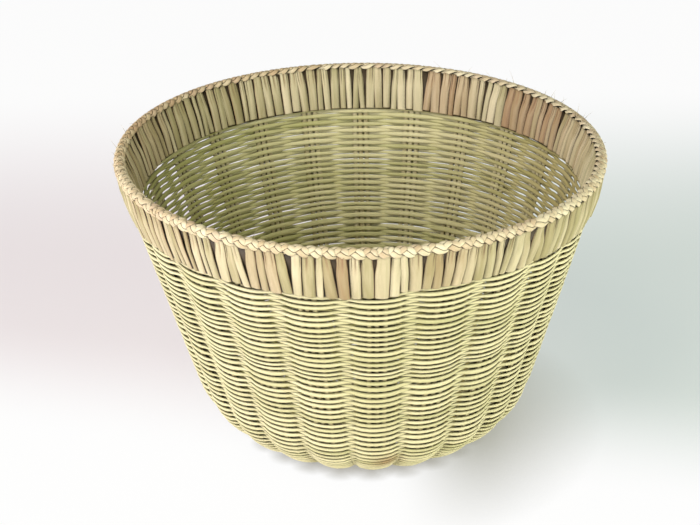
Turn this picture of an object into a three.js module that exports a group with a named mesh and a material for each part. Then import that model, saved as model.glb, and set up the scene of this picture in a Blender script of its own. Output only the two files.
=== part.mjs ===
// Round twined basket: flat stakes in groups of three cross in the base and rise to a leaf-wrapped rim.
// Millimetres, +Z up. The origin is the middle of the base, on the surface that the basket stands on.
import * as THREE from 'three';

// Overall form
const rimRadius = 213; // axis to the middle of the rim braid
const rimHeight = 273; // floor to the middle of the rim braid
const cornerRadius = 80; // bend from base to wall, along the stakes
const flatRingWidth = 3; // woven ring that stands on the floor

// Stakes
const bundlesPerSide = 6; // bundles that leave each side of the crossed base
const stakesPerBundle = 3;
const stakeWidth = 5;
const stakeThickness = 2.4;
const stakeGapAtRim = 3; // between the stakes of one group at the rim
const bundleGap = 0.5; // extra gap between bundles in the crossed base
const stakeLead = 3; // stakes run free this far between their bend and the first round of weave

// Weave
const weaverThickness = 2.6; // one weaver, measured through the wall
const wallCourses = 4; // one course is the rounds between two rows of splices
const roundsPerCourse = 10;
const roundGroove = 1; // depth of the groove between two rounds

// Rim
const bandHeight = 33; // leaf band, measured down the slope from the braid
const hoopThickness = 2;
const hoopHeight = 24;
const leafThickness = 1.3;
const stripsPerGroup = 5;
const stripCrown = 0.7; // each leaf strip stands this much proud of the creases beside it
const braidWidth = 14;
const braidHeight = 12;

// Fit and facets
const clearance = 0.3; // between pieces that touch on the real basket
const cornerFacets = 3;
const braidFacetsPerGroup = 2;
const braidSides = 6;

// Colours
const weaverColour = 0xd9cf9f;
const stakeColour = 0xd8c999;
const leafColour = 0xcbb890;
const braidColour = 0xd2c090;

// Sizes that follow from the ones above
const groupCount = 4 * bundlesPerSide;
const groupAngle = (2 * Math.PI) / groupCount;
const stakePitchAtBase = stakeWidth + clearance;
const stakePitchAtRim = stakeWidth + stakeGapAtRim;
const bundlePitch = stakesPerBundle * stakePitchAtBase + bundleGap;
const layerShift = (stakeThickness + clearance) / 2;
const holeHalfThickness = stakeThickness / 2 + clearance;
const weaveHalfThickness = holeHalfThickness + weaverThickness;
const grooveOffset = weaveHalfThickness - roundGroove;
const hoopOuterOffset = holeHalfThickness + hoopThickness;
const channelOffset = hoopOuterOffset + clearance;
const leafOffset = channelOffset + leafThickness;

// Place in a row, counted from the row's middle.
function fromMiddle(index, count) {
  return index - (count - 1) / 2;
}

function bundleAngle(bundle) {
  return fromMiddle(bundle, bundlesPerSide) * groupAngle;
}

// Distance from the axis at which one stake turns from its row in the crossed base into its spoke.
function bendRadius(bundle, stake) {
  const angle = bundleAngle(bundle);
  const rowOffset = fromMiddle(bundle, bundlesPerSide) * bundlePitch;
  const rowRadius = angle === 0 ? bundlePitch / groupAngle : rowOffset / Math.sin(angle);
  return rowRadius + fromMiddle(stake, stakesPerBundle) * stakePitchAtBase * Math.tan(angle / 2);
}

const weaveStartRadius = bendRadius(bundlesPerSide - 1, stakesPerBundle - 1) + stakeLead;
const baseRadius = weaveStartRadius + flatRingWidth;
const baseLevel = weaveHalfThickness;

// The wall's middle surface as a path of (radius, height): flat ring, rounded corner, straight slope.
function middlePath() {
  const centre = new THREE.Vector2(baseRadius, baseLevel + cornerRadius);
  const rim = new THREE.Vector2(rimRadius, rimHeight).sub(centre);
  const tangentAngle = rim.angle() - Math.acos(cornerRadius / rim.length());
  const sweep = tangentAngle + Math.PI / 2;
  const slope = new THREE.Vector2(-Math.sin(tangentAngle), Math.cos(tangentAngle));
  const points = [new THREE.Vector2(weaveStartRadius, baseLevel)];
  for (let step = 0; step <= cornerFacets; step += 1) {
    const angle = -Math.PI / 2 + (sweep * step) / cornerFacets;
    const onArc = new THREE.Vector2(Math.cos(angle), Math.sin(angle)).multiplyScalar(cornerRadius);
    points.push(onArc.add(centre));
  }
  points.push(new THREE.Vector2(rimRadius, rimHeight).addScaledVector(slope, -braidHeight / 2 - clearance));
  return points;
}

const path = middlePath();
const pathLengths = [0];
for (let i = 1; i < path.length; i += 1) {
  pathLengths.push(pathLengths[i - 1] + path[i].distanceTo(path[i - 1]));
}
const rimTop = pathLengths.at(-1);
const bandBottom = rimTop - bandHeight;
const wallStart = pathLengths[2];
const stakeTop = rimTop - leafThickness - clearance;

function outwardNormal(from, to) {
  const along = to.clone().sub(from).normalize();
  return new THREE.Vector2(along.y, -along.x);
}

// Outward direction at each path point, mitred so that offset walls keep their thickness.
const pathNormals = path.map((point, i) => {
  const before = outwardNormal(path[Math.max(i - 1, 0)], path[Math.max(i, 1)]);
  const after = outwardNormal(path[Math.min(i, path.length - 2)], path[Math.min(i + 1, path.length - 1)]);
  return before.clone().add(after).divideScalar(1 + before.dot(after));
});

// Point on the middle surface, its outward direction and the stake spacing there.
function station(distance) {
  let piece = 0;
  while (piece < path.length - 2 && distance > pathLengths[piece + 1]) piece += 1;
  const share = (distance - pathLengths[piece]) / (pathLengths[piece + 1] - pathLengths[piece]);
  const point = path[piece].clone().lerp(path[piece + 1], share);
  const normal = pathNormals[piece].clone().lerp(pathNormals[piece + 1], share);
  const pitch = THREE.MathUtils.lerp(stakePitchAtBase, stakePitchAtRim, distance / rimTop);
  const groupHalfWidth = ((stakesPerBundle - 1) / 2) * pitch + stakeWidth / 2;
  return { point, normal, pitch, groupHalfWidth };
}

// Stations from one distance to another, with every path point that lies between them.
function stationsBetween(start, end) {
  const between = pathLengths.filter((length) => length > start && length < end);
  return [start, ...between, end].map(station);
}

function polar(angle, radius, across, height) {
  const x = radius * Math.cos(angle) - across * Math.sin(angle);
  const y = radius * Math.sin(angle) + across * Math.cos(angle);
  return new THREE.Vector3(x, y, height);
}

// Point at an offset from the middle surface, square to the stake group at the given angle.
function groupPoint(angle, at, offset, across) {
  const radius = at.point.x + offset * at.normal.x;
  return polar(angle, radius, across, at.point.y + offset * at.normal.y);
}

// Ring of points round the rim; with two points for each group, it has a flat on every stake group.
function rimRing(pointsPerGroup, at, offsetAt) {
  const flatToCorner = 1 / Math.cos(groupAngle / 4);
  const ring = [];
  for (let i = 0; i < groupCount * pointsPerGroup; i += 1) {
    const radius = (at.point.x + offsetAt(i) * at.normal.x) * flatToCorner;
    const angle = ((i + 0.5) * groupAngle) / pointsPerGroup;
    ring.push(polar(angle, radius, 0, at.point.y + offsetAt(i) * at.normal.y));
  }
  return ring;
}

// Collects points and triangles of one closed solid.
class Solid {
  constructor() {
    this.points = [];
    this.triangles = [];
  }

  add(points) {
    const first = this.points.length;
    this.points.push(...points);
    return points.map((point, i) => first + i);
  }

  triangle(a, b, c) {
    this.triangles.push(a, b, c);
  }

  quad(a, b, c, d) {
    this.triangle(a, b, c);
    this.triangle(a, c, d);
  }

  // Joins two closed loops of equal length.
  band(lower, upper) {
    for (let i = 0; i < lower.length; i += 1) {
      const next = (i + 1) % lower.length;
      this.quad(lower[i], lower[next], upper[next], upper[i]);
    }
  }

  mesh(name, colour, roughness) {
    const geometry = new THREE.BufferGeometry().setFromPoints(this.points);
    geometry.setIndex(this.triangles);
    geometry.computeVertexNormals();
    const material = new THREE.MeshStandardMaterial({ color: colour, roughness, flatShading: true });
    const mesh = new THREE.Mesh(geometry, material);
    mesh.name = name;
    return mesh;
  }
}

// Four corners of a stake's section: a centre, a sideways vector and a vector through its thickness.
function stakeSection(centre, sideways, through) {
  const corners = [[-1, 1], [1, 1], [1, -1], [-1, -1]];
  return corners.map(([side, face]) => centre.clone()
    .addScaledVector(sideways, (side * stakeWidth) / 2)
    .addScaledVector(through, (face * stakeThickness) / 2));
}

// One half of a stake, from its bend in the base up to its end under the rim.
function halfStake(bundle, stake, level) {
  const angle = bundleAngle(bundle);
  const place = fromMiddle(stake, stakesPerBundle);
  const bend = polar(angle, bendRadius(bundle, stake), place * stakePitchAtBase, baseLevel + level);
  const mitre = polar(angle / 2, 0, 1 / Math.cos(angle / 2), 0);
  const down = new THREE.Vector3(0, 0, -1);
  const sections = [stakeSection(bend, mitre, down)];
  for (const at of stationsBetween(0, stakeTop)) {
    const through = polar(angle, at.normal.x, 0, at.normal.y);
    const centre = groupPoint(angle, at, 0, place * at.pitch);
    sections.push(stakeSection(centre, polar(angle, 0, 1, 0), through));
  }
  return sections;
}

// A whole stake: two mirrored halves that share the straight run across the base.
function stakeMesh(name, bundle, stake, level) {
  const right = halfStake(bundle, stake, level);
  const mirror = new THREE.Vector3(-1, 1, 1);
  const left = right.map((section) => section.map((corner) => corner.clone().multiply(mirror)));
  const solid = new Solid();
  const loops = [...left.reverse(), ...right].map((section) => solid.add(section));
  for (let i = 1; i < loops.length; i += 1) solid.band(loops[i - 1], loops[i]);
  const first = loops[0];
  const last = loops.at(-1);
  solid.quad(first[3], first[2], first[1], first[0]);
  solid.quad(last[0], last[1], last[2], last[3]);
  return solid.mesh(name, stakeColour, 0.7);
}

// Outer ring of a weave course: a corner on the middle of each stake group, so that the ring dips between
// groups, where two weavers cross.
function outerRing(solid, at, offset) {
  const ring = [];
  for (let group = 0; group < groupCount; group += 1) {
    ring.push(groupPoint((group + 0.5) * groupAngle, at, offset, 0));
  }
  return solid.add(ring);
}

// Inner ring of a weave course: a corner at each crossing, so that the ring lies flat along the groups.
function innerRing(solid, at) {
  const flatRadius = at.point.x - weaveHalfThickness * at.normal.x;
  const height = at.point.y - weaveHalfThickness * at.normal.y;
  const ring = [];
  for (let group = 0; group < groupCount; group += 1) {
    ring.push(polar(group * groupAngle, flatRadius / Math.cos(groupAngle / 2), 0, height));
  }
  return solid.add(ring);
}

// Outlines of the holes that the stake groups pass through.
function stakeHoles(solid, at) {
  const reach = at.groupHalfWidth + clearance;
  const corners = [[1, -1], [1, 1], [-1, 1], [-1, -1]];
  const holes = [];
  for (let group = 0; group < groupCount; group += 1) {
    const angle = (group + 0.5) * groupAngle;
    const hole = corners.map(([face, side]) => groupPoint(angle, at, face * holeHalfThickness, side * reach));
    holes.push(solid.add(hole));
  }
  return holes;
}

// End face of a course, round the holes; facing 1 looks up the wall, -1 down it.
function weaveCap(solid, outer, inner, holes, facing) {
  const face = (...ring) => {
    const turned = facing > 0 ? ring : ring.reverse();
    for (let i = 2; i < turned.length; i += 1) solid.triangle(turned[0], turned[i - 1], turned[i]);
  };
  holes.forEach((hole, group) => {
    const next = (group + 1) % groupCount;
    const beside = holes[next];
    face(outer[group], hole[1], hole[0]);
    face(outer[group], outer[next], beside[0], hole[1]);
    face(hole[1], beside[0], beside[3], hole[2]);
    face(hole[2], beside[3], inner[next]);
    face(hole[3], hole[2], inner[next], inner[group]);
  });
}

// A stretch of weave between two distances along the path. The outer profile lists stations and offsets.
function weaveMesh(name, start, end, outerProfile) {
  const solid = new Solid();
  const stations = stationsBetween(start, end);
  const outer = outerProfile.map(({ at, offset }) => outerRing(solid, at, offset));
  const inner = stations.map((at) => innerRing(solid, at));
  const holes = stations.map((at) => stakeHoles(solid, at));
  for (let i = 1; i < outer.length; i += 1) solid.band(outer[i - 1], outer[i]);
  for (let i = 1; i < stations.length; i += 1) {
    solid.band(inner[i], inner[i - 1]);
    holes[i].forEach((hole, group) => solid.band(hole, holes[i - 1][group]));
  }
  weaveCap(solid, outer[0], inner[0], holes[0], -1);
  weaveCap(solid, outer.at(-1), inner.at(-1), holes.at(-1), 1);
  return solid.mesh(name, weaverColour, 0.6);
}

// The weave under the base is smooth outside, so that the basket stands flat, down to its last groove.
function baseWeaveMesh(name, start, end) {
  const profile = stationsBetween(start, end).map((at) => ({ at, offset: weaveHalfThickness }));
  profile.at(-1).offset = grooveOffset;
  return weaveMesh(name, start, end, profile);
}

// A course of twined rounds, each a ridge between two grooves.
function wallCourseMesh(name, start, end) {
  const steps = 2 * roundsPerCourse;
  const profile = [];
  for (let step = 0; step <= steps; step += 1) {
    const at = station(THREE.MathUtils.lerp(start, end, step / steps));
    const onRidge = step % 2 === 1;
    profile.push({ at, offset: onRidge ? weaveHalfThickness : grooveOffset });
  }
  return weaveMesh(name, start, end, profile);
}

// Closed ring whose section is a loop of rings of equal length, listed anticlockwise in (radius, height).
function ringMesh(name, rings, colour) {
  const solid = new Solid();
  const loops = rings.map((ring) => solid.add(ring));
  loops.forEach((loop, i) => solid.band(loop, loops[(i + 1) % loops.length]));
  return solid.mesh(name, colour, 0.7);
}

// Hoop on one face of the stake tops; face 1 is outside, -1 inside.
function hoopMesh(name, face) {
  const top = station(stakeTop);
  const bottom = station(stakeTop - hoopHeight);
  const edge = (at, offset) => rimRing(2, at, () => offset);
  const low = Math.min(face * holeHalfThickness, face * hoopOuterOffset);
  const high = Math.max(face * holeHalfThickness, face * hoopOuterOffset);
  const rings = [edge(bottom, low), edge(bottom, high), edge(top, high), edge(top, low)];
  return ringMesh(name, rings, stakeColour);
}

// Leaf strips folded over both hoops: a channel with a crown on every strip and a crease between.
function leafBandMesh(name) {
  const solid = new Solid();
  const bottom = station(bandBottom + clearance);
  const roof = station(rimTop - leafThickness);
  const top = station(rimTop);
  const perGroup = 2 * stripsPerGroup;
  const crowned = (i) => leafOffset + (i % 2) * stripCrown;
  const strips = (at, face) => solid.add(rimRing(perGroup, at, (i) => face * crowned(i)));
  const channel = (at, face) => solid.add(rimRing(2, at, () => face * channelOffset));
  const skin = [strips(bottom, 1), strips(top, 1), strips(top, -1), strips(bottom, -1)];
  const lining = [channel(bottom, -1), channel(roof, -1), channel(roof, 1), channel(bottom, 1)];
  for (let i = 1; i < skin.length; i += 1) {
    solid.band(skin[i - 1], skin[i]);
    solid.band(lining[i - 1], lining[i]);
  }
  hemBetween(solid, lining[3], skin[0]);
  hemBetween(solid, lining[0].toReversed(), skin[3].toReversed());
  return solid.mesh(name, leafColour, 0.75);
}

// Joins a plain ring to a ring with several points for each of its sides.
function hemBetween(solid, plain, fine) {
  const perSide = fine.length / plain.length;
  const middle = Math.floor(perSide / 2);
  const from = fine.indexOf(nearestPoint(solid, plain[0], fine));
  plain.forEach((corner, side) => {
    const nextCorner = plain[(side + 1) % plain.length];
    const finePoint = (i) => fine[(from + side * perSide + i) % fine.length];
    for (let i = 0; i < perSide; i += 1) {
      solid.triangle(i < middle ? corner : nextCorner, finePoint(i + 1), finePoint(i));
    }
    solid.triangle(corner, nextCorner, finePoint(middle));
  });
}

function nearestPoint(solid, corner, candidates) {
  const gap = (index) => solid.points[index].distanceTo(solid.points[corner]);
  return candidates.reduce((best, index) => (gap(index) < gap(best) ? index : best));
}

// Plaited cord along the top edge, flat where it lies on the leaf band.
function braidMesh(name) {
  const seat = station(rimTop);
  const up = new THREE.Vector2(-seat.normal.y, seat.normal.x);
  const rings = [];
  for (let side = 0; side < braidSides; side += 1) {
    const angle = (2 * Math.PI * (side + 0.5)) / braidSides - Math.PI / 2;
    const height = clearance + (braidHeight / 2) * (1 + Math.sin(angle) / Math.cos(Math.PI / braidSides));
    const point = seat.point.clone().addScaledVector(up, height);
    const offset = (braidWidth / 2) * Math.cos(angle);
    rings.push(rimRing(braidFacetsPerGroup, { point, normal: seat.normal }, () => offset));
  }
  return ringMesh(name, rings, braidColour);
}

function twoDigits(number) {
  return String(number).padStart(2, '0');
}

const basket = new THREE.Group();

// Two layers of crossed stakes; the upper layer is the lower one turned a quarter round and lifted.
for (const [layer, level, turn] of [['lower', -layerShift, 0], ['upper', layerShift, Math.PI / 2]]) {
  const stakes = new THREE.Group();
  stakes.rotation.z = turn;
  for (let bundle = 0; bundle < bundlesPerSide; bundle += 1) {
    for (let stake = 0; stake < stakesPerBundle; stake += 1) {
      const number = twoDigits(bundle * stakesPerBundle + stake + 1);
      stakes.add(stakeMesh(`${layer}_stake_${number}`, bundle, stake, level));
    }
  }
  basket.add(stakes);
}

// Base weave, then the wall courses one on another up to the leaf band
basket.add(baseWeaveMesh('base_weave', 0, wallStart - clearance));
const courseHeight = (bandBottom - wallStart) / wallCourses;
for (let course = 0; course < wallCourses; course += 1) {
  const start = wallStart + course * courseHeight;
  basket.add(wallCourseMesh(`wall_course_${course + 1}`, start, start + courseHeight - clearance));
}

basket.add(hoopMesh('outer_hoop', 1));
basket.add(hoopMesh('inner_hoop', -1));
basket.add(leafBandMesh('leaf_band'));
basket.add(braidMesh('rim_braid'));

export default basket;
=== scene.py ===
# %% [markdown]
# # A round twined basket with a leaf-wrapped rim
# The real basket is made of three things: flat stakes that stand in groups of three, round weavers
# twined in pairs round those groups, and leaf strips folded over the rim under a plait. The packed
# frame gives the plain bodies. This script dresses them with every single strand, because on a basket
# the strands are the shape: their shadows and gaps can't be painted on.

import math

import bpy
import numpy as np
from mathutils import Matrix, Vector


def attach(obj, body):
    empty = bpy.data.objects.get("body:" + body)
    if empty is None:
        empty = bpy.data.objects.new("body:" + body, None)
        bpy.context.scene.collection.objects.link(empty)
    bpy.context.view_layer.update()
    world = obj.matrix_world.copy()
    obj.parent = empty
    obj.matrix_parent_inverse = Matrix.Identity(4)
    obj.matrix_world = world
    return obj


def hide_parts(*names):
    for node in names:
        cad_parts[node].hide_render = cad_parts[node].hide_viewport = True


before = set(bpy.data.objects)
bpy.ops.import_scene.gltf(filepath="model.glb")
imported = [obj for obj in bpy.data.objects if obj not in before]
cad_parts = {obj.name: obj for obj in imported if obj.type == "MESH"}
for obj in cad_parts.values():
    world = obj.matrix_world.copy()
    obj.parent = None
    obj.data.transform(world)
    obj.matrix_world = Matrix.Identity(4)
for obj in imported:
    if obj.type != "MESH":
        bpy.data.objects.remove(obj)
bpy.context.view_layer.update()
MM = 0.001

# %% [markdown]
# ## The wall's middle line
# A basket wall is one curve turned round an axis: a flat ring on the floor, a rounded corner and a
# straight slope up to the rim. The sizes are measured on the frame's nodes, so the strands stay inside
# the bodies they stand for. The curve could be drawn as a Bezier, but a function of the distance along
# it is handier: every strand asks it for a radius, a height and the direction that faces outwards.

# %% Measure the frame
def node_points(name):
    """Points of a node of the frame, in metres."""
    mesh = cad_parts[name].data
    points = np.empty(3 * len(mesh.vertices))
    mesh.vertices.foreach_get("co", points)
    return points.reshape(-1, 3)


def radii(points):
    return np.hypot(points[:, 0], points[:, 1])


braid_points = node_points("rim_braid")
base_points = node_points("base_weave")
rim_radius = radii(braid_points).mean()
rim_height = braid_points[:, 2].mean()
weave_start = radii(base_points).min()
base_level = base_points[radii(base_points) < weave_start + MM, 2].mean()
print(f"rim {rim_radius:.4f} m out, {rim_height:.4f} m up; weave starts {weave_start:.4f} m out")

# %% The middle line as a function
corner_radius = 80 * MM
flat_ring = 3 * MM
braid_half_height = 6.3 * MM
band_height = 33 * MM

corner_out = weave_start + flat_ring
corner_up = base_level + corner_radius
reach = math.hypot(rim_radius - corner_out, rim_height - corner_up)
slope_turn = math.atan2(rim_height - corner_up, rim_radius - corner_out)
slope_turn += math.pi / 2 - math.acos(corner_radius / reach)
arc_length = corner_radius * slope_turn
rim_top = flat_ring + arc_length + math.sqrt(reach**2 - corner_radius**2) - braid_half_height
band_bottom = rim_top - band_height


def wall(distance):
    """Radius, height and outward direction at a distance along the middle line."""
    turned = np.clip((distance - flat_ring) / corner_radius, 0, slope_turn) - math.pi / 2
    before = np.minimum(distance - flat_ring, 0)
    after = np.maximum(distance - flat_ring - arc_length, 0)
    out = np.cos(turned)
    up = np.sin(turned)
    radius = corner_out + corner_radius * out + before - up * after
    height = corner_up + corner_radius * up + out * after
    return radius, height, out, up


print(f"slope {90 - math.degrees(slope_turn):.1f} degrees off upright, wall {rim_top / MM:.0f} mm long")

# %% [markdown]
# ## Hand-made unevenness
# Nothing woven by hand is perfectly regular. Two small helpers bring that in: an easing curve, and a
# smooth random line made from seeded random numbers, so that the basket comes out the same every time.

# %% Easing and smooth noise
knot_count = 2048


def ease(value):
    """Zero to one with a soft start and a soft end."""
    held = np.clip(value, 0, 1)
    return held * held * (3 - 2 * held)


def wander(position, seed):
    """Smooth random values between -1 and 1 along a line."""
    knots = np.random.default_rng(seed).uniform(-1, 1, knot_count)
    whole = np.floor(position).astype(int)
    share = ease(position - whole)
    return knots[whole % knot_count] * (1 - share) + knots[(whole + 1) % knot_count] * share


print("a smooth random line:", np.round(wander(np.arange(6) / 2, 1), 2))

# %% [markdown]
# ## The camera
# The picture was taken from a little above the rim with a long lens. The stake groups of the frame sit
# on an even circle, and the camera is turned a few degrees round it so that the groups fall where the
# photo shows them. The distance and the aim are given in rim radii, as a fit to the photo finds them.

# %% Place the camera
camera_turn = math.radians(6.4)
camera_rise = math.radians(25.8)
camera_roll = math.radians(0.52)
camera_distance = 7.222 * rim_radius
aim_left = 0.0642 * rim_radius
aim_below_rim = 0.541 * rim_radius

camera_right = Vector((math.cos(camera_turn), math.sin(camera_turn), 0))
camera_ahead = Vector((-math.sin(camera_turn), math.cos(camera_turn), 0))
looking = camera_ahead * math.cos(camera_rise) - Vector((0, 0, math.sin(camera_rise)))
aim = camera_right * -aim_left + Vector((0, 0, rim_height - aim_below_rim))
camera_up = camera_right.cross(looking)
tilted_right = camera_right * math.cos(camera_roll) - camera_up * math.sin(camera_roll)
tilted_up = camera_up * math.cos(camera_roll) + camera_right * math.sin(camera_roll)
axes = Matrix((tilted_right, tilted_up, -looking)).transposed()

camera_data = bpy.data.cameras.new("camera")
camera_data.lens = 87.4
camera_data.sensor_width = 36
camera = bpy.data.objects.new("camera", camera_data)
camera.matrix_world = Matrix.Translation(aim - looking * camera_distance) @ axes.to_4x4()
bpy.context.scene.collection.objects.link(camera)
bpy.context.scene.camera = camera
bpy.context.scene.view_settings.view_transform = "Standard"
print(f"camera {camera_distance:.2f} m from its aim")

# %% [markdown]
# ## A basket that has been used
# The frame is even, but a hand-made basket isn't. Seen from the camera, the stake groups have slipped a
# little one way at the front and the other way at the back, the whole basket leans to the left and its
# mouth is slightly oval. A lattice could bend the finished meshes. It is simpler here to bend the points
# as they are made, because every strand asks `place` where to go.

# %% Slip, lean and oval
slip_start = 60 * MM
lean = 4 * MM
oval = 0.012


def slip(angle, distance):
    """How far the stake groups have moved round: waves with their heights in degrees."""
    seen = angle - camera_turn
    wide = 2.43 * np.sin(seen + 2.74) - 1.26 * np.sin(2 * seen)
    fine = 0.85 * np.sin(3 * seen - 2.3) + 0.23
    return np.radians(wide + fine) * ease(distance / slip_start)


def settle(points):
    """Moves points as years of use have: the basket leans a little left and its mouth is a bit oval."""
    rise = points[..., 2] / rim_height
    right = points[..., 0] * camera_right.x + points[..., 1] * camera_right.y
    ahead = points[..., 0] * camera_ahead.x + points[..., 1] * camera_ahead.y
    right = right * (1 - oval * rise) - lean * rise
    ahead = ahead * (1 + oval * rise)
    across = right * camera_right.x + ahead * camera_ahead.x
    deep = right * camera_right.y + ahead * camera_ahead.y
    return np.stack([across, deep, points[..., 2]], -1)


def polar(away, angle, height):
    """Point at a distance from the axis, an angle round it and a height, moved as settle moves it."""
    return settle(np.stack(np.broadcast_arrays(away * np.cos(angle), away * np.sin(angle), height), -1))


def place(angle, distance, offset):
    """Point at an angle round the basket, a distance up the wall and an offset out from its middle."""
    radius, height, out, up = wall(distance)
    return polar(radius + offset * out, angle + slip(angle, distance), height + offset * up)


print("a point on the rim:", np.round(place(0.0, rim_top, 0.0), 4))

# %% [markdown]
# ## Floor and light
# The basket stands on a white sweep between two windows, one at the front left and one at the front
# right, under a roof light. Two low cards brighten the foot of the wall and a faint sky fills the rest.
# A bright sweep comes out nearly white in a photo, so the camera sees it mostly as glowing paper, while
# the basket gets the light that plain paper throws back. Behind the basket the glowing sweep gets painted
# shade, pinkish grey at the left and greenish grey at the right. Ambient occlusion paints shade into it
# close to the basket.

# %% Helpers for node trees
def new_material(name):
    """An empty material and its node tree."""
    material = bpy.data.materials.new(name)
    material.use_nodes = True
    material.node_tree.nodes.clear()
    return material, material.node_tree


def maths(tree, operation, *values):
    """A maths node; each value is a number or a socket."""
    node = tree.nodes.new("ShaderNodeMath")
    node.operation = operation
    for socket, value in zip(node.inputs, values):
        if isinstance(value, (int, float)):
            socket.default_value = value
        else:
            tree.links.new(value, socket)
    return node.outputs[0]


def mix(tree, share, first, second):
    """A colour mix node; each colour is a tuple or a socket."""
    node = tree.nodes.new("ShaderNodeMix")
    node.data_type = "RGBA"
    tree.links.new(share, node.inputs["Factor"])
    for side, colour in (("A", first), ("B", second)):
        if isinstance(colour, tuple):
            node.inputs[side].default_value = (*colour, 1)
        else:
            tree.links.new(colour, node.inputs[side])
    return node.outputs["Result"]


def clamp(tree, value):
    """A node that holds a value between zero and one."""
    node = tree.nodes.new("ShaderNodeClamp")
    tree.links.new(value, node.inputs["Value"])
    return node.outputs[0]


# %% Colours and reaches on the floor
floor_size = 9
white = (1, 1, 1)
paper_colour = (0.86, 0.84, 0.78)
# painted shade: the glowing sweep greys behind the basket, pinkish at the left and greenish at the right
sweep_shade_left = (0.95, 0.875, 0.905)
sweep_shade_right = (0.74, 0.825, 0.795)
contact_shade = (0.3, 0.28, 0.22)
contact_reach = 12 * MM
side_shade = (0.27, 0.27, 0.19)
side_reach = 90 * MM
glow_in_front = 0.96
glow_behind = 0.7

bpy.ops.mesh.primitive_plane_add(size=floor_size)
floor = bpy.context.object
floor.name = "floor"
floor_material, floor_tree = new_material("white_sweep")
floor_point = floor_tree.nodes.new("ShaderNodeTexCoord").outputs["Object"]


def floor_ramp(direction, start, stop):
    """Zero to one along a direction on the floor, from start to stop in metres."""
    along = floor_tree.nodes.new("ShaderNodeVectorMath")
    along.operation = "DOT_PRODUCT"
    along.inputs[1].default_value = direction
    ramp = floor_tree.nodes.new("ShaderNodeMapRange")
    ramp.interpolation_type = "SMOOTHSTEP"
    ramp.inputs["From Min"].default_value = start
    ramp.inputs["From Max"].default_value = stop
    floor_tree.links.new(floor_point, along.inputs[0])
    floor_tree.links.new(along.outputs["Value"], ramp.inputs["Value"])
    return ramp.outputs[0]


def floor_openness(distance):
    """One where nothing within a distance covers the floor, less under and beside the basket."""
    near = floor_tree.nodes.new("ShaderNodeAmbientOcclusion")
    near.inputs["Distance"].default_value = distance
    return near.outputs["AO"]


# %% Mix the colour of the floor
near_end = floor_ramp(camera_ahead + camera_right * 0.22, -0.1, 0.12)
far_end = floor_ramp(camera_ahead, 0.9, 0.3)
behind = maths(floor_tree, "MULTIPLY", near_end, far_end)
# painted shade on the sweep behind the basket
sweep_shade = mix(floor_tree, floor_ramp(camera_right, -0.2, 0.3), sweep_shade_left, sweep_shade_right)
sweep = mix(floor_tree, behind, white, sweep_shade)
# painted shade from ambient occlusion: thin all round the basket, soft at its right
touched = mix(floor_tree, floor_openness(contact_reach), contact_shade, sweep)
covered = maths(floor_tree, "SUBTRACT", 1, floor_openness(side_reach))
beside = maths(floor_tree, "MULTIPLY", covered, floor_ramp(camera_right, 0.02, 0.12))
floor_colour = mix(floor_tree, beside, touched, side_shade)
print("floor colour takes", len(floor_tree.nodes), "nodes")

# %% Glow for the camera, plain paper for the basket
paper = floor_tree.nodes.new("ShaderNodeBsdfDiffuse")
paper.inputs["Color"].default_value = (*paper_colour, 1)
glare = floor_tree.nodes.new("ShaderNodeEmission")
glow = floor_tree.nodes.new("ShaderNodeMapRange")
glow.inputs["To Min"].default_value = glow_in_front
glow.inputs["To Max"].default_value = glow_behind
ray = floor_tree.nodes.new("ShaderNodeLightPath").outputs
seen = maths(floor_tree, "MAXIMUM", ray["Is Camera Ray"], ray["Is Glossy Ray"])
seen = maths(floor_tree, "MAXIMUM", seen, ray["Is Transmission Ray"])
both = floor_tree.nodes.new("ShaderNodeMixShader")
floor_output = floor_tree.nodes.new("ShaderNodeOutputMaterial")
floor_tree.links.new(floor_colour, glare.inputs["Color"])
floor_tree.links.new(behind, glow.inputs["Value"])
floor_tree.links.new(maths(floor_tree, "MULTIPLY", seen, glow.outputs[0]), both.inputs["Fac"])
floor_tree.links.new(paper.outputs[0], both.inputs[1])
floor_tree.links.new(glare.outputs[0], both.inputs[2])
floor_tree.links.new(both.outputs[0], floor_output.inputs["Surface"])
floor.data.materials.append(floor_material)
print("floor material has", len(floor_tree.nodes), "nodes in all")

# %% Lamps and sky
lamp_target = Vector((0, 0, 0.15))


def add_lamp(name, at, size, power, colour):
    """A square lamp that faces the basket; at is metres to the right, ahead and up."""
    data = bpy.data.lights.new(name, "AREA")
    data.size = size
    data.energy = power
    data.color = colour
    lamp = bpy.data.objects.new(name, data)
    where = camera_right * at[0] + camera_ahead * at[1] + Vector((0, 0, at[2]))
    lamp.location = where
    lamp.rotation_euler = (lamp_target - where).to_track_quat("-Z", "Y").to_euler()
    bpy.context.scene.collection.objects.link(lamp)
    return lamp


lamps = [
    add_lamp("left_window", (-1.3, -1.3, 0.8), 0.9, 22.5, (1, 0.955, 1)),
    add_lamp("right_window", (1.35, -1.3, 0.68), 0.9, 19.5, (0.96, 1, 0.87)),
    add_lamp("roof_light", (-0.7, -0.85, 1.9), 0.9, 17.5, (1, 0.98, 0.83)),
    add_lamp("left_card", (-1.1, -0.5, 0.03), 0.7, 6.5, (1, 0.98, 1)),
    add_lamp("right_card", (1.1, -0.5, 0.03), 0.7, 6.5, (0.98, 1, 0.9)),
]
world = bpy.data.worlds.new("sky")
world.use_nodes = True
sky = world.node_tree.nodes["Background"]
sky.inputs["Color"].default_value = (0.98, 1, 0.97, 1)
sky.inputs["Strength"].default_value = 0.02
bpy.context.scene.world = world
print("lamps:", [lamp.name for lamp in lamps])
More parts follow.
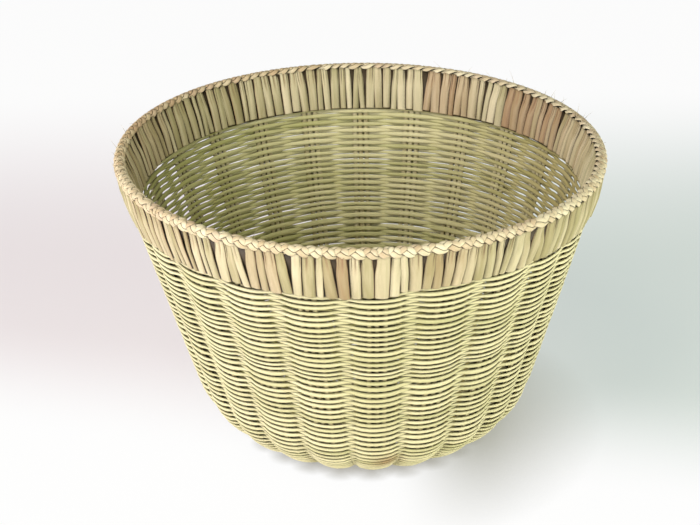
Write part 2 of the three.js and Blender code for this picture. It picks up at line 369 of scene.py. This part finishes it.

# %% [markdown]
# ## Plant fibre
# Cane, split stakes and dried leaf are all bundles of fibres, so one node group colours them all. It
# reads five values that each strand carries: how far along it a point is, how far across, a tint from
# pale to deep (deeper also as painted shade on inward faces), a stain (on the leaf strips also painted
# shade at edges and pleats), and how much painted shade its recesses get. Long thin noise makes the fibre
# streaks, and ambient occlusion finds the recesses, which are darkened as painted shade. A plain image
# could do this too, but the values follow each strand round every bend without any seams.

# %% The fibre node group
value_names = ("Along", "Across", "Tint", "Stain_and_Shade", "Recess_Shade")
setting_names = ("Streak Length", "Streak Count", "Contrast")
colour_names = ("Pale", "Deep", "Stained_and_Shaded")
# colour of the painted shade that ambient occlusion puts into recesses
recess_shade_colour = (0.014, 0.009, 0.004)
recess_reach = 6 * MM
recess_open = 0.9
recess_closed = 0.52
tint_shift = 3.0


def fibre_group():
    """Builds the group that turns a strand's values into a colour, a roughness and a height."""
    group = bpy.data.node_groups.new("Plant fibre", "ShaderNodeTree")
    socket = group.interface.new_socket
    for name in value_names + setting_names:
        socket(name, in_out="INPUT", socket_type="NodeSocketFloat")
    for name in colour_names:
        socket(name, in_out="INPUT", socket_type="NodeSocketColor")
    socket("Color", in_out="OUTPUT", socket_type="NodeSocketColor")
    socket("Roughness", in_out="OUTPUT", socket_type="NodeSocketFloat")
    socket("Height", in_out="OUTPUT", socket_type="NodeSocketFloat")
    given = group.nodes.new("NodeGroupInput").outputs
    made = group.nodes.new("NodeGroupOutput").inputs
    link = group.links.new

    grain = group.nodes.new("ShaderNodeCombineXYZ")
    link(maths(group, "DIVIDE", given["Along"], given["Streak Length"]), grain.inputs["X"])
    link(maths(group, "MULTIPLY", given["Across"], given["Streak Count"]), grain.inputs["Y"])
    link(maths(group, "MULTIPLY", given["Tint"], tint_shift), grain.inputs["Z"])
    streaks = group.nodes.new("ShaderNodeTexNoise")
    streaks.inputs["Scale"].default_value = 1
    streaks.inputs["Detail"].default_value = 3
    streaks.inputs["Roughness"].default_value = 0.6
    link(grain.outputs[0], streaks.inputs["Vector"])
    streak = streaks.outputs[0]

    swing = maths(group, "MULTIPLY", maths(group, "SUBTRACT", streak, 0.5), given["Contrast"])
    depth = clamp(group, maths(group, "ADD", given["Tint"], swing))
    plain = mix(group, depth, given["Pale"], given["Deep"])
    blotch = maths(group, "MULTIPLY", given["Stain_and_Shade"], swing)
    stain_and_shade = clamp(group, maths(group, "ADD", given["Stain_and_Shade"], blotch))
    coloured = mix(group, stain_and_shade, plain, given["Stained_and_Shaded"])

    # ambient occlusion paints shade into the recesses, as far as each strand's value allows
    near = group.nodes.new("ShaderNodeAmbientOcclusion")
    near.samples = 4
    near.inputs["Distance"].default_value = recess_reach
    recess = group.nodes.new("ShaderNodeMapRange")
    recess.inputs["From Min"].default_value = recess_open
    recess.inputs["From Max"].default_value = recess_closed
    link(near.outputs["AO"], recess.inputs["Value"])
    link(given["Recess_Shade"], recess.inputs["To Max"])
    link(mix(group, recess.outputs[0], coloured, recess_shade_colour), made["Color"])
    link(maths(group, "MULTIPLY_ADD", streak, 0.25, 0.42), made["Roughness"])
    link(streak, made["Height"])
    return group


fibre = fibre_group()
print("fibre group:", len(fibre.nodes), "nodes")

# %% Materials made of fibre
relief_depth = 0.3 * MM


def fibre_material(name, pale, deep, stained_and_shaded, streak_length, streak_count, contrast, relief):
    """A material of its own colours and streaks around the shared group."""
    material, tree = new_material(name)
    surface = tree.nodes.new("ShaderNodeBsdfPrincipled")
    look = tree.nodes.new("ShaderNodeGroup")
    look.node_tree = fibre
    for socket, colour in zip(colour_names, (pale, deep, stained_and_shaded)):
        look.inputs[socket].default_value = (*colour, 1)
    for socket, setting in zip(setting_names, (streak_length, streak_count, contrast)):
        look.inputs[socket].default_value = setting
    for value in value_names:
        carried = tree.nodes.new("ShaderNodeAttribute")
        carried.attribute_name = value.lower()
        tree.links.new(carried.outputs["Fac"], look.inputs[value])
    bump = tree.nodes.new("ShaderNodeBump")
    bump.inputs["Strength"].default_value = relief
    bump.inputs["Distance"].default_value = relief_depth
    surface.inputs["Specular IOR Level"].default_value = 0.35
    output = tree.nodes.new("ShaderNodeOutputMaterial")
    tree.links.new(look.outputs["Color"], surface.inputs["Base Color"])
    tree.links.new(look.outputs["Roughness"], surface.inputs["Roughness"])
    tree.links.new(look.outputs["Height"], bump.inputs["Height"])
    tree.links.new(bump.outputs[0], surface.inputs["Normal"])
    tree.links.new(surface.outputs[0], output.inputs["Surface"])
    return material


cane = fibre_material(
    "cane", (0.89, 0.82, 0.50), (0.49, 0.48, 0.19), (0.42, 0.25, 0.12), 60 * MM, 3, 0.7, 0.2
)
split_cane = fibre_material(
    "split_cane", (0.84, 0.75, 0.46), (0.54, 0.45, 0.21), (0.36, 0.22, 0.11), 40 * MM, 6, 0.8, 0.3
)
# the leaf's stained colour also serves as painted shade at strip edges and pleats
leaf = fibre_material(
    "leaf", (0.84, 0.74, 0.50), (0.45, 0.40, 0.20), (0.44, 0.27, 0.145), 30 * MM, 8, 0.9, 0.6
)
plait_leaf = fibre_material(
    "plait_leaf", (0.93, 0.83, 0.58), (0.66, 0.50, 0.29), (0.50, 0.27, 0.17), 18 * MM, 6, 0.8, 0.5
)
# nearly black cane: painted shade for the hoops seen behind the slits
painted_shade_cane = fibre_material(
    "painted_shade_cane", (0.10, 0.07, 0.04), (0.06, 0.04, 0.02), (0.05, 0.03, 0.02), 40 * MM, 6, 0.8, 0.3
)
print("materials:", [m.name for m in (cane, split_cane, leaf, plait_leaf, painted_shade_cane)])

# %% [markdown]
# ## Tubes
# Stakes, weavers, leaf strips and the plait are all long things with a small section, so one builder
# serves them all: it takes the rings of points along a strand, skins them with four-sided faces and
# stores the values that the materials read. Curves with a bevel would be quicker to type, but their
# section can't flatten where two weavers squeeze past each other.

# %% Collect tubes into a piece
class Strands:
    def __init__(self):
        self.points = []
        self.faces = []
        self.carried = {"along": [], "across": [], "tint": [], "stain_and_shade": [], "recess_shade": []}

    def add(self, rings, along, tint, stain_and_shade, recess_shade=1.0, closed=False):
        """Rings is an array of rings by points by three; a value is one number, per ring or per point."""
        count, sides = rings.shape[:2]
        first = sum(len(part) for part in self.points)
        self.points.append(rings.reshape(-1, 3))
        ring = np.arange(count if closed else count - 1)[:, None]
        point = np.arange(sides)[None, :]
        here = ring * sides
        further = (ring + 1) % count * sides
        beside = (point + 1) % sides
        corners = [here + point, here + beside, further + beside, further + point]
        self.faces += (np.stack(corners, -1).reshape(-1, 4) + first).tolist()
        if not closed:
            self.faces.append((first + np.arange(sides)[::-1]).tolist())
            self.faces.append((first + (count - 1) * sides + np.arange(sides)).tolist())
        across = np.abs(2 * np.arange(sides) / sides - 1)
        given = {"along": along, "across": across[None, :], "tint": tint, "stain_and_shade": stain_and_shade, "recess_shade": recess_shade}
        for name, value in given.items():
            spread = np.asarray(value, float)
            if spread.ndim == 1:
                spread = spread[:, None]
            self.carried[name].append(np.broadcast_to(spread, (count, sides)).ravel())

    def build(self, name, material, slot, *nodes):
        """Makes the piece, hangs it on the basket's body and hides the frame nodes it stands for."""
        mesh = bpy.data.meshes.new(name)
        points = np.concatenate(self.points)
        mesh.from_pydata(points.tolist(), [], self.faces)
        for value, parts in self.carried.items():
            mesh.attributes.new(value, "FLOAT", "POINT").data.foreach_set("value", np.concatenate(parts))
        mesh.polygons.foreach_set("use_smooth", np.ones(len(mesh.polygons), bool))
        mesh.materials.append(material)
        piece = bpy.data.objects.new(name, mesh)
        bpy.context.scene.collection.objects.link(piece)
        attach(piece, "root")
        if nodes:
            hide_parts(*nodes)
        print(f"{name}: {len(mesh.vertices)} points, {len(mesh.polygons)} faces")
        return piece


# %% Sections of a tube
def unit(vectors):
    return vectors / np.linalg.norm(vectors, axis=-1, keepdims=True)


def section_angles(sides):
    """Directions of the points round a section, with a flat side at each end of both axes."""
    return 2 * np.pi * (np.arange(sides) + 0.5) / sides


def section_rings(centres, facing, half_tall, half_thick, sides, squareness=1.0):
    """Oval rings round a line of centres; facing is the direction through each ring's thickness."""
    ahead = unit(np.gradient(centres, axis=0))
    facing = unit(facing - ahead * (facing * ahead).sum(-1, keepdims=True))
    sideways = np.cross(facing, ahead)
    angle = section_angles(sides)
    wide = np.sign(np.cos(angle)) * np.abs(np.cos(angle)) ** squareness
    thick = np.sign(np.sin(angle)) * np.abs(np.sin(angle)) ** squareness
    tall = np.asarray(half_tall)[:, None, None] * wide[None, :, None] * sideways[:, None, :]
    deep = np.asarray(half_thick)[:, None, None] * thick[None, :, None] * facing[:, None, :]
    return centres[:, None, :] + tall + deep


# %% [markdown]
# ## Stakes
# 36 flat split canes lie crossed in the base, 18 each way, and both ends of each bend up the wall, which
# makes 24 groups of three. Between the weavers they show as pale bars with dark slits. Each one is a
# tube with a squarish section: straight across the base, a soft bend into its spoke, then up the wall,
# where the groups stand a little proud. Painted shade darkens the recesses of their outward faces, while
# the inward faces get little of it and stay pale.

# %% Sizes of the stakes
groups = 24
group_angle = 2 * math.pi / groups
bundles = groups // 4
stake_width = 4.3 * MM
stake_thick = 2.9 * MM
stake_squareness = 0.55
pitch_low = 5.3 * MM
pitch_high = 5.7 * MM
bundle_pitch = 16.4 * MM
layer_lift = 1.35 * MM
bow = 1.1 * MM
stake_wander = 0.35 * MM


def group_bow(distance):
    """How far the wall bows out at a stake group, and in between groups."""
    return bow * ease(distance / (40 * MM)) * ease((band_bottom - distance) / (25 * MM))


def stake_pitch(distance):
    """Spacing of the stakes in a group; the groups open a little towards the rim."""
    return pitch_low + (pitch_high - pitch_low) * ease(distance / (150 * MM))


def group_half(distance):
    """Half the width of a group of three stakes."""
    return stake_pitch(distance) + stake_width / 2


print(f"a group is {2 * group_half(rim_top) / MM:.1f} mm wide at the rim")

# %% The line of one stake
base_steps = 24
corner_steps = 14
wall_steps = 30
corner_end = 40 * MM
wall_begin = 48 * MM
bend_first = base_steps - 6
bend_last = base_steps + 10


def half_stake(bundle, order, lift, turn, mirror):
    """Centres of one stake from the middle of the base up to the rim, in a layer turned about the axis."""
    angle = (bundle - (bundles - 1) / 2) * group_angle
    row = (bundle - (bundles - 1) / 2) * bundle_pitch
    bend = row / math.sin(angle) * math.cos(angle) - order * pitch_low * math.tan(angle / 2)
    inner = np.linspace(0, bend, base_steps) * mirror
    aside = np.full(base_steps, row + order * pitch_low)
    level = np.full(base_steps, base_level + lift)
    straight = np.stack([inner, aside, level], -1)
    straight = settle(straight @ np.array(Matrix.Rotation(-turn, 3, "Z")))
    corner = np.linspace(0, corner_end, corner_steps)
    upright = np.linspace(wall_begin, rim_top - 2 * MM, wall_steps)
    distance = np.concatenate([corner, upright])
    sideways = order * stake_pitch(distance)
    sideways = sideways + stake_wander * wander(distance / (45 * MM), 40 * bundle + order + 9)
    spoke = angle + sideways / wall(distance)[0]
    spoke = turn + (spoke if mirror > 0 else math.pi - spoke)
    line = np.concatenate([straight, place(spoke, distance, group_bow(distance))])
    for _ in range(3):
        before = line[bend_first - 1 : bend_last - 1]
        after = line[bend_first + 1 : bend_last + 1]
        line[bend_first:bend_last] = (before + line[bend_first:bend_last] + after) / 3
    return line


# %% Build both layers of stakes
stake_chance = np.random.default_rng(24)
stake_sides = 8
# painted shade in the recesses: full on the outward faces, little on the inward ones
inner_shade = 0.15
outer_shade = 1.0
base_reach = 90 * MM
slimmer_in_base = 0.17
facing_in = np.sin(section_angles(stake_sides)) > 0
stake_shade = np.where(facing_in, inner_shade, outer_shade)[None, :]


def stake_layer(name, lift, turn):
    """Builds the 18 stakes that cross the base one way."""
    layer = Strands()
    for bundle in range(bundles):
        for order in (-1, 0, 1):
            right = half_stake(bundle, order, lift, turn, 1)
            left = half_stake(bundle, order, lift, turn, -1)
            line = np.concatenate([left[:0:-1], right])
            ahead = np.gradient(line, axis=0)
            sideways = unit(np.cross(np.array([0, 0, 1.0]), ahead))
            facing = np.cross(ahead, sideways)
            along = np.concatenate([[0], np.cumsum(np.linalg.norm(np.diff(line, axis=0), axis=1))])
            slim = 1 - slimmer_in_base * np.exp(-((radii(line) / base_reach) ** 4))
            width = stake_width / 2 * slim
            width = width * (1 + 0.05 * wander(along / (60 * MM), 20 + 7 * bundle + order))
            thick = np.full(len(line), stake_thick / 2)
            rings = section_rings(line, facing, width, thick, stake_sides, stake_squareness)
            tint = 0.4 + 0.3 * stake_chance.uniform(-1, 1)
            tint = tint + 0.1 * wander(along / (80 * MM), 90 + 11 * bundle + order)
            layer.add(rings, along + stake_chance.uniform(0, 5), tint, 0.0, stake_shade)
    kind = name.split("_")[0]
    numbers = [f"{kind}_stake_{number + 1:02d}" for number in range(3 * bundles)]
    return layer.build(name, split_cane, "stake", *numbers)


stake_layer("lower_stakes", -layer_lift, 0)
stake_layer("upper_stakes", layer_lift, math.pi / 2)

# %% [markdown]
# ## Twined weavers
# Two weavers travel round together, one always half a row higher than the other. At each stake group one
# passes in front and the other behind, and between groups they change places, which locks the stakes.
# This is the basket's main texture: at a group the front strand stands clear, with dark gaps above and
# below it, and between groups both strands press together into a dense rib. The wall bows out at each
# group, so the rows hang like garlands. Each strand is one long helix whose offset from the wall swings
# in and out. An array of one short piece would be quicker, but then every cell would look the same.

# %% Sizes of the weave
row_pitch = 5.9 * MM
weaver_half_tall = 1.93 * MM
weaver_half_thick = 0.95 * MM
weaver_play = 0.1 * MM
stagger = 0.5 * row_pitch
weaver_sides = 8
steps_per_group = 12
end_angle = math.radians(-79)
first_row = 2.2 * MM
last_row = band_bottom - weaver_half_tall - stagger / 2
turns = (last_row - first_row) / row_pitch
courses = ["base_weave", "wall_course_1", "wall_course_2", "wall_course_3", "wall_course_4"]
base_share = (flat_ring + arc_length / 3) / band_bottom
print(f"{turns:.1f} rounds of two strands")

# %% How uneven the weave is
row_drift = 0.45
shared_uneven = 0.3 * MM
own_uneven = 0.24 * MM
thinnest_row = 0.7
flat_stretch = 1.3
widest_flat = 0.35
plumpness = 0.15
crossing_squeeze = 0.16
side_looseness = 0.39
front_tightness = 0.1
inner_growth = 0.09


def wobble(angle, distance):
    """Slow waves that all rows share."""
    low = 0.7 * np.sin(3 * angle + 1.3 + distance / (60 * MM))
    high = 0.5 * np.sin(7 * angle + 0.4 - distance / (35 * MM))
    return MM * (low + high) * ease(distance / (40 * MM)) * ease((last_row - distance) / (25 * MM))


def row_place(strand, from_end, angle, turn):
    """Distance of a weaver up the wall, and how fat its row is."""
    rows = np.maximum(turn, 0)
    rows = rows + row_drift * wander(rows * 0.3, 63) * ease(rows / 4) * ease((turns - rows) / 4)
    fatness = np.maximum(np.gradient(rows, turn), thinnest_row)
    uneven = shared_uneven * wander(from_end * 0.3, 61) + own_uneven * wander(from_end * 0.3, 64 + strand)
    uneven = uneven * ease(turn / 2) * ease(turns - turn)
    distance = first_row + row_pitch * rows
    return distance + wobble(angle, distance) + uneven, fatness


# %% The path of one weaver
def weaver(strand, from_end):
    """Rings and places of one weaver; from_end counts stake groups back from the weave's upper end."""
    angle = end_angle + from_end * group_angle
    turn = turns - from_end / groups
    cell = angle / group_angle - 0.5
    group = np.floor(cell)
    share = cell - group
    side = np.where((group + strand) % 2 == 0, 1.0, -1.0)
    distance, fatness = row_place(strand, from_end, angle, turn)
    radius = wall(distance)[0]
    flat = np.minimum(flat_stretch * group_half(distance) / (radius * group_angle), widest_flat)
    change = np.clip((share - flat) / (1 - 2 * flat), 0, 1)
    turned = np.cos(np.pi * change)
    swing = side * turned * np.abs(turned) ** 0.7
    crossing = np.sin(np.pi * change) ** 2
    loose = side_looseness * np.abs(np.cos(angle - camera_turn)) - front_tightness
    plump = 1 + plumpness * wander(from_end * 0.4, 71 + strand)
    tall = weaver_half_tall * plump * fatness * (1 - crossing_squeeze * crossing)
    tall = tall * (1 - loose * np.sin(2 * np.pi * change) ** 2) * (1 + inner_growth * ease(-swing))
    thick = weaver_half_thick * plump * (1 + 0.1 * crossing)
    clear = stake_thick / 2 + weaver_half_thick + weaver_play
    offset = swing * clear + group_bow(distance) * np.cos(2 * np.pi * share)
    lift = (0.5 - strand) * stagger
    centres = place(angle, distance + lift, offset)
    facing = place(angle, distance + lift, offset + MM) - centres
    rings = section_rings(centres, facing, tall, thick, weaver_sides)
    along = from_end * group_angle * radius.mean()
    return rings, along, angle, distance


# %% [markdown]
# ## Colours of the weavers
# Real cane drifts from straw to green along its length. Outside, the sun has bleached it. On the inward
# faces, painted shade makes the colour deeper and greener at the left, at the right and low down, and
# they are browner at the right and a little low down. The values differ between the inward and the
# outward faces of the same strand, so they are set per point.

# %% Tint, stain and dust of the weavers
inside = (np.sin(section_angles(weaver_sides)) < 0).astype(float)[None, :]
# the inward faces of the weavers get only a little of the painted recess shade
inside_shade_spared = 0.92
weaver_shade = 1 - inside_shade_spared * inside
slow_drift = 350 * MM
quick_drift = 90 * MM
foot_height = 170 * MM
left_inside = 185
right_inside = 5


def towards(angle, degrees):
    """One at a direction round the basket, fading to nothing a quarter turn away."""
    return np.clip(np.cos(angle - math.radians(degrees)), 0, 1) ** 2


def weaver_tint(along, angle, distance, seed):
    """Straw to green along the strand; painted shade makes the inward faces deeper, and the outward ones
    are paler.
    """
    slow = wander(along / slow_drift, seed)
    quick = wander(along / quick_drift, seed + 1)
    drift = 0.26 + 0.28 * slow + 0.16 * quick
    # painted shade on the inward faces: deeper and greener at the left, at the right and low down
    inside_shade = 0.22 + 0.68 * towards(angle, left_inside) + 0.48 * towards(angle, right_inside)
    inside_shade = inside_shade + 0.66 * ease(1 - distance / foot_height)
    bleached = 0.2 * np.abs(np.cos(angle - camera_turn))
    return drift[:, None] + inside_shade[:, None] * inside - bleached[:, None] * (1 - inside)


def patch(angle, distance, at_degrees, at_distance, size):
    """A stained patch on the wall, one in its middle and fading out."""
    away = (angle - math.radians(at_degrees) + np.pi) % (2 * np.pi) - np.pi
    across = away * wall(distance)[0]
    return np.exp(-(across**2 + (distance - at_distance) ** 2) / size**2)


def weaver_stain(angle, distance):
    """Two brown patches outside, and a brown cast inside at the right and low down."""
    low_front = patch(angle, distance, -79, 75 * MM, 11 * MM)
    left = patch(angle, distance, -133, band_bottom - 8 * MM, 12 * MM)
    brown = 0.42 * towards(angle, right_inside) + 0.15 * ease(1 - distance / foot_height)
    return (0.75 * low_front + 0.3 * left)[:, None] + brown[:, None] * inside


# %% Build the courses
total_groups = turns * groups
breaks = [0, base_share] + [base_share + (1 - base_share) * step / 4 for step in (1, 2, 3, 4)]
for number, course in enumerate(courses):
    piece = Strands()
    for strand in (0, 1):
        low = total_groups * (1 - breaks[number])
        high = total_groups * (1 - breaks[number + 1])
        steps = int(round((low - high) * steps_per_group))
        rings, along, angle, distance = weaver(strand, np.linspace(low, high, steps + 1))
        tint = weaver_tint(along, angle, distance, 100 + 10 * number + strand)
        piece.add(rings, along, tint, weaver_stain(angle, distance), weaver_shade)
    piece.build(f"{course}_strands", cane, "weaver", course)

# %% [markdown]
# ## Leaf strips
# The rim is wrapped with folded leaf, about 150 strips outside and as many inside. A folded strip is a
# flat tube with round edges, and painted shade darkens the edges where strips meet. It stands a little
# proud in its middle, and its upper end is gathered into pleats where the plait pulls it tight, which
# leaves small openings; painted shade darkens the pleats and the top of each strip.
# A cloth simulation could gather one real band. Single strips are made instead, each with its own width,
# lean and pleats, because they stay put and come out the same every time.

# %% Sizes of the strips
strip_count = 156
strip_sides = 48
strip_thick = 0.6 * MM
strip_crown = 1.3 * MM
strip_offset = 4.3 * MM
strip_belly = 0.7 * MM
pinch_depth = 0.6 * MM
pleat_depth = 0.9 * MM
crease_depth = 0.3 * MM
tuck = 2 * MM
strip_rings = np.array([0, 0.03, 0.1, 0.22, 0.36, 0.5, 0.58, 0.65, 0.72, 0.78, 0.84, 0.9, 1.0])
pinch = ease((strip_rings - 0.5) / 0.36)


def top_row(angle):
    """Upper edge of the weave below the strips; it climbs one row in a full turn."""
    behind = (angle - end_angle) % (2 * np.pi)
    return last_row - row_pitch * behind / (2 * np.pi) + weaver_half_tall


print(f"a strip is about {2 * math.pi * rim_radius / strip_count / MM:.1f} mm wide")

# %% Where the leaf is brown or deep
def stretch(angle, middle, half_width):
    """One inside a stretch of the rim given in degrees, fading to nothing past its ends."""
    away = abs((math.degrees(angle) - middle + 180) % 360 - 180)
    return float(ease((half_width + 1.5 - away) / 3))


def strip_stain(angle, face):
    """Brown strips, by their places round the rim in degrees."""
    if face > 0:
        browns = stretch(angle, -106, 3) + stretch(angle, -90, 2) + 0.7 * stretch(angle, -70, 6)
        return 0.5 * browns + 0.25 * stretch(angle, -135, 12)
    browns = 0.75 * stretch(angle, 71, 8) + 0.9 * stretch(angle, 43, 11) + 0.4 * stretch(angle, 20, 11)
    return browns + 0.25 * stretch(angle, 200, 40)


def strip_tint(angle, face):
    """Deeper colour on the outer strips round the right, and painted shade on the inner strips at the
    left.
    """
    if face > 0:
        return 0.1 + 0.25 * stretch(angle, -15, 30)
    return 0.35 * stretch(angle, 168, 45) - 0.1


# %% One strip
def leaf_strip(piece, face, angle, width, chance):
    """One folded strip on the outer (1) or inner (-1) face; width is in radians."""
    low = top_row(angle) + chance.uniform(-1.3, 0.5) * MM
    distance = low + strip_rings * (rim_top + tuck - low)
    narrow = 1 - chance.uniform(0.0, 0.17) * pinch**2
    half = 0.5 * width * chance.uniform(0.95, 1.0) * (1 + 0.03 * np.sin(np.pi * strip_rings)) * narrow
    middle = angle + chance.normal() * 0.01 * (strip_rings - 0.1)
    middle = middle + chance.uniform(-0.07, 0.07) * width * pinch

    turn = section_angles(strip_sides)
    across = -face * np.cos(turn) * np.abs(np.cos(turn)) ** -0.4
    through = np.sin(turn)
    front = np.maximum(through, 0)
    swell = strip_crown * chance.uniform(0.5, 1.4) * (1 - across**2)
    swell = swell + MM * (0.5 + 0.2 * chance.normal()) * across
    pleats = chance.uniform(1.6, 3.4)
    fold = np.sin(pleats * np.pi / 2 * across + chance.uniform(0, 6))
    pleat = np.exp(-((fold / 0.22) ** 2)) * front
    crease = np.exp(-(((across - chance.uniform(-0.6, 0.6)) / 0.12) ** 2)) * front

    base = strip_offset + 0.5 * MM * chance.uniform(-1, 1)
    base = base + strip_belly * np.sin(np.pi * strip_rings) - pinch_depth * pinch
    gathered = pinch[:, None] * pleat[None, :]
    skin = swell[None, :] * (1 - 0.4 * pinch[:, None]) + strip_thick * through[None, :]
    skin = skin - pleat_depth * gathered - crease_depth * chance.uniform(0, 1) * crease[None, :]
    around = middle[:, None] + half[:, None] * across[None, :]
    spread = np.broadcast_to(distance[:, None], around.shape)
    rings = place(around, spread, face * (base[:, None] + skin))

    tint = 0.47 + 0.35 * chance.uniform(-1, 1) + 0.25 * chance.normal() * (strip_rings - 0.5)
    # painted shade: a little deeper near the top, under the plait
    tint = tint + 0.1 * pinch + strip_tint(angle, face)
    stain_and_shade = strip_stain(angle, face) * chance.uniform(0.35, 1.0) + 0.12 * chance.uniform(0, 1)
    # painted shade along the edges where strips meet and in the pleats, carried in the stain value
    edge = ease((np.abs(across) - 0.88) / 0.1)
    stain_and_shade = stain_and_shade + 0.8 * edge[None, :] + 0.7 * gathered
    piece.add(rings, distance + chance.uniform(0, 9), tint, stain_and_shade)


# %% Build the strips outside and inside
for face, name in ((1, "outer_leaf_strips"), (-1, "inner_leaf_strips")):
    strips = Strands()
    chance = np.random.default_rng(300 + face)
    widths = chance.uniform(0.68, 1.32, strip_count)
    edges = np.concatenate([[0], np.cumsum(widths)]) * 2 * math.pi / widths.sum()
    for start, stop in zip(edges[:-1], edges[1:]):
        leaf_strip(strips, face, (start + stop) / 2, stop - start, chance)
    strips.build(name, leaf, "leaf", "leaf_band")

# %% [markdown]
# ## The plait
# A plait of three ribbons lies along the top edge like a saddle, and each ribbon is two narrow leaves
# side by side. A ribbon swings from side to side while it dips under and rides over the others: a sine
# for the swing and one of twice the pace for the height give a true plait. The ribbons are bent over a
# round core, so they wrap both edges. At the back left the plait is darker.

# %% Sizes of the plait
plait_length = 31.8 * MM
plait_swing = 4.3 * MM
plait_core = 3.4 * MM
plait_lift = 1.6 * MM
plait_rise = 1.0 * MM
plait_tilt = 0.25
leaf_half = 2.05 * MM
leaf_gap = 0.04 * MM
ribbon_thick = 0.45 * MM
ribbon_crown = 0.18 * MM
ribbon_sides = 12
wave_steps = 20
seam_fade = 60 * MM
darker_side = math.radians(150)
waves = round(2 * math.pi * rim_radius / plait_length)


def on_core(run, lateral, height):
    """Point on the plait: run along the rim, lateral across it and height above its round core."""
    radius, level, out, up = wall(rim_top + plait_lift)
    angle = run / rim_radius
    roll = lateral / plait_core * 0.85 + plait_tilt
    raised = (plait_core + height) * np.cos(roll)
    outward = (plait_core + height) * np.sin(roll) * 1.15
    return polar(radius + outward * out - raised * up, angle, level + outward * up + raised * out)


print(waves, "waves in the plait")

# %% Build the plait
plait = Strands()
count = waves * wave_steps
run = np.arange(count) / count * 2 * math.pi * rim_radius
seam = ease(np.minimum(run, run[-1] - run) / seam_fade)
darkening = np.clip(np.cos(run / rim_radius - darker_side), 0, 1)
turn = section_angles(ribbon_sides)
bulge = ribbon_thick * np.sin(turn) + ribbon_crown * (1 - np.cos(turn) ** 2)
for ribbon in range(3):
    phase = 2 * np.pi * (np.arange(count) / wave_steps + ribbon / 3)
    phase = phase + 0.7 * seam * wander(run / (23 * MM), 500)
    swing = plait_swing * (1 + 0.22 * seam * wander(run / (17 * MM), 510 + ribbon))
    lateral = 0.92 * swing * (np.sin(phase) - np.sin(3 * phase) / 11)
    height = plait_rise * np.sin(2 * phase)
    heading = np.arctan2(np.gradient(lateral), np.gradient(run))
    tint = 0.3 + 0.4 * wander(run / (21 * MM), 520 + ribbon) + 0.5 * darkening
    stain_and_shade = 0.35 * ease(wander(run / (26 * MM), 530 + ribbon)) + 0.08 * darkening
    for half in (-1, 1):
        flat = half * (leaf_half + leaf_gap) - leaf_half * np.cos(turn) * np.abs(np.cos(turn)) ** -0.4
        rings = on_core(
            run[:, None] - flat * np.sin(heading)[:, None],
            lateral[:, None] + flat * np.cos(heading)[:, None],
            height[:, None] + bulge[None, :],
        )
        plait.add(rings, run + ribbon + 0.3 * half, tint + 0.12 * half, stain_and_shade, closed=True)
plait.build("rim_plait", plait_leaf, "braid", "rim_braid")

# %% [markdown]
# ## Stray fibres
# A few leaf fibres always work loose at a rim. They are thin tapering tubes with a gentle curl, sprinkled
# where the photo shows them. Hair would do for a picture, but tubes also come out as a solid mesh.

# %% Build the stray fibres
stray_count = 44
stray_places = [60, 45, 75, 30, 215, 240, 190, 172, 180, 198]
stray_thin = 0.22 * MM
stray_sides = 5
strays = Strands()
share = np.linspace(0, 1, 8)
for number in range(stray_count):
    chance = np.random.default_rng(700 + number)
    angle = math.radians(chance.choice(stray_places)) + chance.normal() * 0.15
    length = chance.uniform(7, 17) * MM
    rise = share * length * chance.uniform(0.3, 0.9)
    drift = share**1.6 * length * chance.uniform(-0.8, 0.8)
    spread = chance.choice([-1, 1]) * (3 * MM + share * length * chance.uniform(0.1, 0.4))
    centres = place(angle + drift / rim_radius, rim_top + 3 * MM + rise, spread)
    facing = np.broadcast_to([math.cos(angle), math.sin(angle), 0.2], centres.shape)
    thin = stray_thin * (1.1 - share)
    strays.add(section_rings(centres, facing, thin, thin, stray_sides), share * length, 0.4, 0.2)
strays.build("stray_fibres", leaf, "leaf")

# %% [markdown]
# ## The hoops
# Two split-cane hoops clamp the stake tops under the leaf. They hardly show, only as something dark
# behind the slits between strips, so each is a plain flat ring coloured nearly black as painted shade.
# It reaches from the top row of the weave to the rim, which keeps daylight out of the slits.

# %% Build the hoops
hoop_thick = 2 * MM
hoop_gap = 0.3 * MM
hoop_overlap = 1 * MM
hoop_steps = 144
for face, name in ((1, "outer_hoop"), (-1, "inner_hoop")):
    hoop = Strands()
    angle = np.linspace(0, 2 * np.pi, hoop_steps, endpoint=False)
    offset = face * (stake_thick / 2 + hoop_gap + hoop_thick / 2)
    lower = top_row(angle) - hoop_overlap
    upper = np.full(hoop_steps, rim_top + hoop_overlap)
    edges = [(lower, -1), (lower, 1), (upper, 1), (upper, -1)]
    corners = [place(angle, edge, offset + out * hoop_thick / 2) for edge, out in edges]
    hoop.add(np.stack(corners, 1), angle * rim_radius, 0.5, 0.0, closed=True)
    hoop.build(f"{name}_cane", painted_shade_cane, "stake", name)
